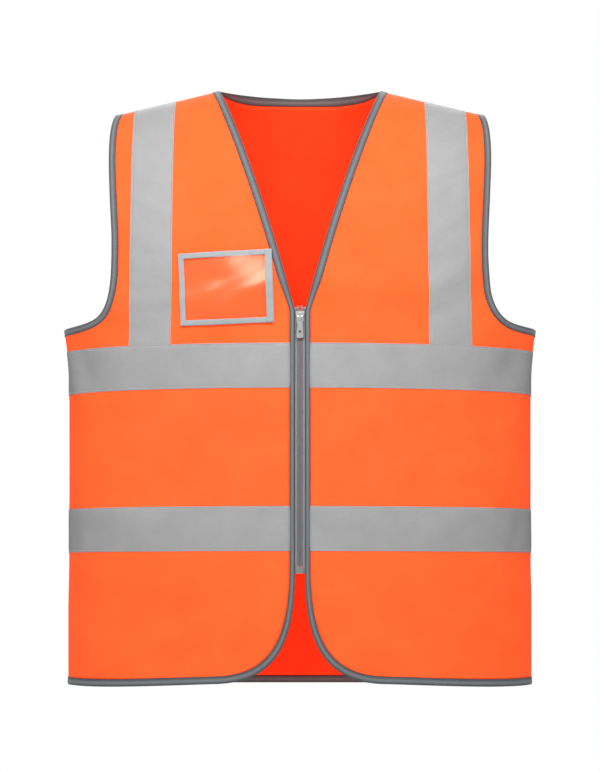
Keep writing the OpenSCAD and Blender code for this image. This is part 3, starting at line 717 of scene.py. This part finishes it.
# Across the tape, in millimetres: close rows at the edges, where the stitches draw it down
tape_rows = np.array([0, 0.5, 1.2, 1.9, 2.6, 3.6, 6, 12, 19, 25, 31, 38, 44, 46.4, 47.4, 48.1, 48.8, 49.5,
                      tape_width])
tape_stitches = (1.9, 48.1)
drawn_down = sum(np.exp(-(((tape_rows - line) / 0.9) ** 2)) for line in tape_stitches)
lift_off = 0.95 - 0.22 * drawn_down + 0.12 * np.sin(math.pi * tape_rows / tape_width)


def tape(name, turn, level, face, raise_by, node):
    """Tape laid over a grid whose rows are tape_rows."""
    out = (lift_off + raise_by)[:, None] + 0 * turn
    made = slab(name, turn, level, face, out - 0.4, out, beaded)
    tidy_faces(made)
    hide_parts(node)
    return made


for drop, word in ((upper_drop, "upper"), (lower_drop, "lower")):
    level = level_at(0.0, -drop - tape_rows)[:, None]
    start = place_of(zip_gap_half + zip_binding_width - 1.0, -drop)[0]
    for side, name in ((LEFT, "left"), (RIGHT, "right")):
        turn = side * np.linspace(float(start), 90, 90)[None]
        t, l = np.broadcast_arrays(turn, level)
        on_front[side].append(tape(f"band_{word}_{name}", t, l, FRONT, 0.0, f"{word}_band_{name}"))
        for line in tape_stitches:
            row = np.stack(np.broadcast_arrays(turn[0], level_at(0.0, -drop - line)), 1)
            stitch_rows[side].append((row, row, 0.0, FRONT))
    turn = np.linspace(-90, 90, 170)[None]
    t, l = np.broadcast_arrays(turn, level)
    on_back.append(tape(f"band_{word}_back", t, l, BACK, 0.0, f"{word}_band_back"))
    for line in tape_stitches:
        row = np.stack(np.broadcast_arrays(turn[0], level_at(0.0, -drop - line)), 1)
        stitch_rows[WHOLE_BACK].append((row, row, 0.0, BACK))
for side, name in ((LEFT, "left"), (RIGHT, "right")):
    for face, where in ((FRONT, "front"), (BACK, "back")):
        foot = float(level_at(0.0, -upper_drop - 4))
        level = foot * np.linspace(1, 0, 90)[None] ** 1.5
        x = mix(brace_in, brace_out, tape_rows / tape_width)[:, None]
        turn = np.degrees(np.arcsin(x / half_width(level)))
        t, l = np.broadcast_arrays(side * turn, level)
        made = tape(f"brace_{where}_{name}_tape", t, l, face, -0.35, f"brace_{where}_{name}")
        (on_front[side] if face == FRONT else on_back).append(made)
        for line in tape_stitches:
            x = mix(brace_in, brace_out, line / tape_width)
            row = np.stack([side * np.degrees(np.arcsin(x / half_width(level[0]))), level[0]], 1)
            # The first rows are under the upper band
            row = row[8:]
            stitch_rows[side if face == FRONT else WHOLE_BACK].append((row, row, 0.0, face))

# ---- Stitching ------------------------------------------------------------------------------------------
# Grey polyester lockstitch, 2.8 mm to the stitch, along both edges of every tape and the open side of every
# binding. Each stitch dips into the cloth at both ends.
stitch_pitch, stitch_length, thread_half = 2.8, 2.2, 0.24
stitch_rings = ((0.0, -0.25, 0.5), (0.25, 0.08, 1.0), (0.75, 0.08, 1.0), (1.0, -0.25, 0.5))
thread_section = ((1, 0), (0.3, 0.9), (-0.3, 0.9), (-1, 0), (0, -0.7))
threads = {}
# Twisted two-ply thread: a matt round line with a faint twist, dark on binding and silver grey on tape
for use, dark_side, pale_side in (("binding", "#484b4d", "#5f6264"), ("tape", "#9d9e9f", "#b5b6b7")):
    threads[use], tree = material(f"spun_polyester_thread_for_{use}")
    twist = add(tree, "ShaderNodeTexNoise", {"Scale": 900.0, "Detail": 1.0})
    lay = add(tree, "ShaderNodeValToRGB", {"stops": ((0.0, dark_side), (1.0, pale_side))},
              {"Fac": twist.outputs["Fac"]})
    spun = add(tree, "ShaderNodeBsdfPrincipled", {"Roughness": 0.65, "Sheen Weight": 0.15},
               {"Base Color": lay.outputs["Color"]})
    add(tree, "ShaderNodeOutputMaterial", links={"Surface": spun.outputs["BSDF"]})


def stitches(name, rows, lifting, skin):
    """All the stitches of one body's rows, as one mesh of short arched bars."""
    points, faces, count = [], [], 0
    corners = len(thread_section)
    for edge, inner, share, face in rows:
        turn = mix(edge[:, 0], inner[:, 0], share)
        level = mix(edge[:, 1], inner[:, 1], share)
        line = cloth_at(turn, level, face, lifting)
        up = outward(hung, turn, level, face)
        run = np.concatenate([[0], np.cumsum(np.linalg.norm(np.diff(line, axis=0), axis=1))])
        starts = np.arange(1.5, run[-1] - stitch_length - 1, stitch_pitch)
        rings = []
        for share_along, rise, thick in stitch_rings:
            at = starts + share_along * stitch_length
            p = np.stack([np.interp(at, run, line[:, k]) for k in range(3)], 1)
            n = np.stack([np.interp(at, run, up[:, k]) for k in range(3)], 1)
            ahead = np.stack([np.interp(at + 0.5, run, line[:, k]) for k in range(3)], 1) - p
            ahead /= np.maximum(1e-9, np.linalg.norm(ahead, axis=1, keepdims=True))
            wide = np.cross(ahead, n)
            p = p + rise * n
            ring = [p + thread_half * thick * w * wide + thread_half * thick * h * n
                    for w, h in thread_section]
            rings.append(np.stack(ring, 1))
        points.append(np.stack(rings, 1).reshape(-1, 3))
        one_stitch = corners * len(stitch_rings)
        first = count + np.arange(len(starts)) * one_stitch
        for k in range(len(stitch_rings) - 1):
            near, far = first + corners * k, first + corners * (k + 1)
            for c in range(corners):
                d = (c + 1) % corners
                faces.append(np.stack([near + c, near + d, far + d, far + c], 1))
        count += len(starts) * one_stitch
    made = mesh_piece(name, np.concatenate(points), np.concatenate(faces), skin)
    return made


for key, rows in stitch_rows.items():
    # Stitches lie on the binding's open side, or in the dip along a tape's edge
    word = {LEFT: "front_left", RIGHT: "front_right", WHOLE_BACK: "back"}[key]
    on_binding = [row for row in rows if row[2] > 0]
    on_tape = [row for row in rows if row[2] == 0]
    (on_back if key == WHOLE_BACK else on_front[key]).extend(
        [stitches(f"stitching_binding_{word}", on_binding, 0.98, threads["binding"]),
         stitches(f"stitching_tape_{word}", on_tape, 0.86, threads["tape"])])

# ---- Card pocket on the right chest ---------------------------------------------------------------------
# A window of clear soft vinyl with light grey trim sewn round it, open at the side next to the zip. The vinyl
# stands a little proud of the cloth, and the wide strip at its mouth lies over the top and bottom strips' ends.
pocket_width, pocket_height, pocket_in, pocket_drop = 107.0, 81.5, 28.5, 199.0
pocket_slant, pocket_lean, pocket_taper, mouth_lean = 3.5, 4.5, 0.5, 2.2
trim_width, mouth_trim_width = 6.2, 8.4
vinyl, tree = material("clear_pvc_sheet_calendered")
# A clear film shows only what it mirrors, more of it at a slant, with the shallow waves that soft vinyl keeps
# from being rolled
waves = add(tree, "ShaderNodeTexNoise", {"Scale": 1 / 0.035, "Detail": 1.5})
wavy = add(tree, "ShaderNodeBump", {"Strength": 0.12, "Distance": 0.002}, {"Height": waves.outputs["Fac"]})
slant = add(tree, "ShaderNodeLayerWeight", {"Blend": 0.5}, {"Normal": wavy.outputs["Normal"]})
grazing = add(tree, "ShaderNodeMath", {"operation": "POWER", 1: 5.0}, {0: slant.outputs["Facing"]})
mirrored = add(tree, "ShaderNodeMath", {"operation": "MULTIPLY_ADD", 1: 0.6, 2: 0.05},
               {0: grazing.outputs["Value"]})
clear = add(tree, "ShaderNodeBsdfPrincipled",
            {"Base Color": hue("#ffdcc4"), "Metallic": 1.0, "Roughness": 0.2},
            {"Alpha": mirrored.outputs["Value"], "Normal": wavy.outputs["Normal"]})
add(tree, "ShaderNodeOutputMaterial", links={"Surface": clear.outputs["BSDF"]})
pocket_trim, tree = material("woven_polyester_trim_light_grey")
# The same ribbed tape as the binding in a pale silver grey
metres = add(tree, "ShaderNodeUVMap", {"uv_map": "cloth"})
ribs = add(tree, "ShaderNodeTexWave", {"bands_direction": "X", "Scale": metre_wave / 0.001, "Distortion": 0.5},
           {"Vector": metres.outputs["UV"]})
mottled = add(tree, "ShaderNodeTexNoise", {"Scale": 1 / 0.008, "Detail": 3.0},
              {"Vector": metres.outputs["UV"]})
pale = add(tree, "ShaderNodeValToRGB", {"stops": ((0.0, "#7f8688"), (1.0, "#90979a"))},
           {"Fac": mottled.outputs["Fac"]})
weft = add(tree, "ShaderNodeBump", {"Strength": 0.5, "Distance": 0.00015}, {"Height": ribs.outputs["Fac"]})
trimmed = add(tree, "ShaderNodeBsdfPrincipled", {"Roughness": 0.65, "Sheen Weight": 0.2},
              {"Base Color": pale.outputs["Color"], "Normal": weft.outputs["Normal"]})
add(tree, "ShaderNodeOutputMaterial", links={"Surface": trimmed.outputs["BSDF"]})


def pocket_place(u, v):
    """Turn and level at shares of the pocket's width from its mouth, and of its height from its top."""
    turn, level = place_of(pocket_in + (1 - u) * (1 - v) * mouth_lean + u * (pocket_width - v * pocket_lean),
                           -pocket_drop - v * (pocket_height - u * pocket_taper) - u * pocket_slant)
    return RIGHT * turn, level


def trim_strip(name, start, end, width, low, node):
    """A strip of trim between two corners of the pocket, with rounded edges."""
    start, end = np.array(start, float), np.array(end, float)
    along = np.linspace(0, 1, 40)[:, None]
    size = np.array([pocket_width, pocket_height])
    way = (end - start) * size
    sideways = np.array([-way[1], way[0]]) / np.linalg.norm(way) / size * width
    section = np.array([(-0.5, 0.0), (-0.5, 0.35), (-0.42, 0.6), (-0.25, 0.72), (0.0, 0.76), (0.25, 0.72),
                        (0.42, 0.6), (0.5, 0.35), (0.5, 0.0)])
    shares = start + along[:, None] * (end - start) + section[None, :, :1] * sideways
    turn, level = pocket_place(shares[..., 0], shares[..., 1])
    rings = cloth_at(turn, level, FRONT, low + section[None, :, 1])
    run = along * np.linalg.norm(way)
    uv = np.stack(np.broadcast_arrays(run, section[None, :, 0] * width), -1)
    made = tidy_faces(ring_piece(name, rings, pocket_trim, uv))
    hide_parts(node)
    on_front[RIGHT].append(made)


u, v = np.meshgrid(np.linspace(0.02, 0.98, 56), np.linspace(0.03, 0.97, 44))
turn, level = pocket_place(u, v)
belly = 1.5 * np.sin(math.pi * u**0.8) * np.sin(math.pi * v) ** 0.35
belly = belly + 0.25 * np.sin(7 * u + 2 * v) * np.sin(math.pi * u) * np.sin(math.pi * v)
window = tidy_faces(slab("pocket_window_vinyl", turn, level, FRONT, 1.55 + belly, 1.85 + belly, vinyl))
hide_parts("pocket_window")
on_front[RIGHT].append(window)
half_u, half_v = trim_width / 2 / pocket_width, trim_width / 2 / pocket_height
mouth_u = mouth_trim_width / 2 / pocket_width
trim_strip("pocket_trim_strip_top", (mouth_u, half_v), (1, half_v), trim_width, 2.0, "pocket_trim_top")
trim_strip("pocket_trim_strip_bottom", (mouth_u, 1 - half_v), (1, 1 - half_v), trim_width, 2.0,
           "pocket_trim_bottom")
trim_strip("pocket_trim_strip_side", (1 - half_u, 0), (1 - half_u, 1), trim_width, 2.25, "pocket_trim_side")
trim_strip("pocket_trim_strip_mouth", (mouth_u, 0), (mouth_u, 1), mouth_trim_width, 2.5, "pocket_trim_mouth")

# ---- Zip --------------------------------------------------------------------------------------------------
# An open-ended zip with moulded plastic teeth on grey woven tapes, sewn behind the two bound edges. The slider,
# pull tab, box and pin are bright plated metal, and the top stops are moulded like the teeth.
front_y = -front_depth
binding_thick, layer_gap, zip_tape_thick = 1.8, 0.15, 0.6
# The zip's middle lies this far out of the form
zip_proud = 0.2
chain_y = front_y - zip_proud + binding_thick / 2 + layer_gap + zip_tape_thick / 2
lift = hang_tilt * (front_depth + zip_proud)
tooth_pitch = 2.6
slider_length = 12.0
top_z, foot_z = lift - zip_top, lift - zip_foot
zip_weave, tree = material("woven_polyester_zip_tape_grey")
# Herringbone tape, drawn at 1.2 mm so that the weave shows between teeth and binding
metres = add(tree, "ShaderNodeUVMap", {"uv_map": "cloth"})
zigzag = add(tree, "ShaderNodeTexWave",
             {"bands_direction": "DIAGONAL", "Scale": metre_wave / 0.0012, "Distortion": 1.0},
             {"Vector": metres.outputs["UV"]})
dark = add(tree, "ShaderNodeValToRGB", {"stops": ((0.0, "#676a6c"), (1.0, "#84888a"))},
           {"Fac": zigzag.outputs["Fac"]})
herring = add(tree, "ShaderNodeBump", {"Strength": 0.6, "Distance": 0.0002},
              {"Height": zigzag.outputs["Fac"]})
tape_cloth = add(tree, "ShaderNodeBsdfPrincipled", {"Roughness": 0.8, "Sheen Weight": 0.15},
                 {"Base Color": dark.outputs["Color"], "Normal": herring.outputs["Normal"]})
add(tree, "ShaderNodeOutputMaterial", links={"Surface": tape_cloth.outputs["BSDF"]})
acetal, tree = material("moulded_acetal_grey")
# Injection-moulded teeth: an even satin grey with soft edges and the faintest flow marks
flow = add(tree, "ShaderNodeTexNoise", {"Scale": 600.0, "Detail": 2.0})
moulded = add(tree, "ShaderNodeValToRGB", {"stops": ((0.0, "#535557"), (1.0, "#636567"))},
              {"Fac": flow.outputs["Fac"]})
polished = add(tree, "ShaderNodeBsdfPrincipled", {"Roughness": 0.38, "IOR": 1.48},
               {"Base Color": moulded.outputs["Color"]})
add(tree, "ShaderNodeOutputMaterial", links={"Surface": polished.outputs["BSDF"]})
# One tooth seen from the front, in millimetres: its foot grips the tape, and its head sits between two others
tooth_outline = np.array([(3.1, -0.7), (3.1, 0.7), (1.5, 0.8), (1.05, 0.6), (0.65, 0.5), (0.1, 0.66),
                          (-0.6, 0.64), (-0.95, 0.42), (-0.95, -0.42), (-0.6, -0.64), (0.1, -0.66),
                          (0.65, -0.5), (1.05, -0.6), (1.5, -0.8)])
tooth_section = ((-1.1, 0.82), (-0.85, 1.0), (0.85, 1.0), (1.1, 0.82))
sides, layers = len(tooth_outline), len(tooth_section)
for side, word in ((LEFT, "left"), (RIGHT, "right")):
    h = np.linspace(-zip_top + 4, -zip_foot, 130)
    x = np.array([1.2, 2.0, 3.0, 4.6, 7.0, 9.5, 12.0, 15.0])
    turn, level = place_of(*np.meshgrid(x, h))
    low = -(chain_y - front_y + zip_proud) - zip_tape_thick / 2
    woven_tape = tidy_faces(slab(f"zip_tape_cloth_{word}", side * turn, level, FRONT, low + 0.05, low + 0.55,
                                 zip_weave))
    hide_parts(f"zip_tape_{word}")
    first = top_z - slider_length / 2 - (tooth_pitch / 2 if side == RIGHT else 0)
    count = int((first - foot_z - 9) // tooth_pitch) + 1
    centre = tooth_outline.mean(0)
    rings = []
    for k in range(count):
        for y, grow in tooth_section:
            outline = centre + (tooth_outline - centre) * grow
            rings.append(np.stack([side * outline[:, 0], np.full(sides, chain_y + y),
                                   first - 0.45 - k * tooth_pitch + outline[:, 1]], 1))
    rings = np.concatenate(rings)
    faces = []
    for k in range(count):
        base, last = sides * layers * k, sides * (layers * k + layers - 1)
        faces += grid_faces(layers, sides, base, closed=True).tolist()
        faces += [[base + c for c in range(sides)], [last + c for c in range(sides - 1, -1, -1)]]
    teeth = tidy_faces(mesh_piece(f"zip_teeth_row_{word}", rings, faces, acetal))
    for polygon in teeth.data.polygons:
        polygon.use_smooth = False
    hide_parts(f"zip_teeth_{word}")
    # The cord along the tape's inner edge, which the teeth are moulded on to
    z = np.linspace(top_z + 6, foot_z + 1, 140)
    around = np.linspace(0, 2 * math.pi, 9)[:-1]
    cord = np.stack(np.broadcast_arrays(side * (1.75 + 0.85 * np.cos(around))[None],
                                        (chain_y + 0.8 * np.sin(around))[None], z[:, None]), -1)
    uv = np.stack(np.broadcast_arrays(z[:, None], around[None]), -1)
    bead = tidy_faces(ring_piece(f"zip_edge_cord_{word}", cord, zip_weave, uv))
    on_front[side] += [woven_tape, teeth, bead]

plated, tree = material("nickel_plated_zinc_die_cast")
# Bright nickel over a die casting: clean reflections, slightly clouded by handling
cloud = add(tree, "ShaderNodeTexNoise", {"Scale": 350.0, "Detail": 4.0})
handled = add(tree, "ShaderNodeMapRange", {"To Min": 0.22, "To Max": 0.36}, {"Value": cloud.outputs["Fac"]})
dull = add(tree, "ShaderNodeValToRGB", {"stops": ((0.0, "#c4c3c1"), (1.0, "#dcdbd9"))},
           {"Fac": cloud.outputs["Fac"]})
cast = add(tree, "ShaderNodeBump", {"Strength": 0.12, "Distance": 0.0001}, {"Height": cloud.outputs["Fac"]})
nickel = add(tree, "ShaderNodeBsdfPrincipled", {"Metallic": 1.0},
             {"Base Color": dull.outputs["Color"], "Roughness": handled.outputs["Result"],
              "Normal": cast.outputs["Normal"]})
add(tree, "ShaderNodeOutputMaterial", links={"Surface": nickel.outputs["BSDF"]})
for name in ("zip_slider", "pull_tab", "top_stop_left", "top_stop_right", "retainer_box", "insertion_pin"):
    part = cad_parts[name]
    part.data.materials.clear()
    part.data.materials.append(acetal if name.startswith("top_stop") else plated)
    # Tumbling before plating rounds every edge of the castings a little
    weld = part.modifiers.new("weld", "WELD")
    weld.merge_threshold = 0.00001
    rounded = part.modifiers.new("tumbled_edges", "BEVEL")
    rounded.width = 0.00012
    rounded.segments = 2
    rounded.limit_method = "ANGLE"
    rounded.angle_limit = math.radians(35)

# ---- Sewing it together ----------------------------------------------------------------------------------
# Everything sewn to a front has its placing baked into its points, and everything sewn to the back rides on the
# back. The three panels are the sheets that the rest is sewn to.
for side in (LEFT, RIGHT):
    for piece in [panels[side]] + on_front[side]:
        with_front(piece)
for piece in [panels[WHOLE_BACK]] + on_back:
    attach(piece, "back")

low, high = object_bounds()
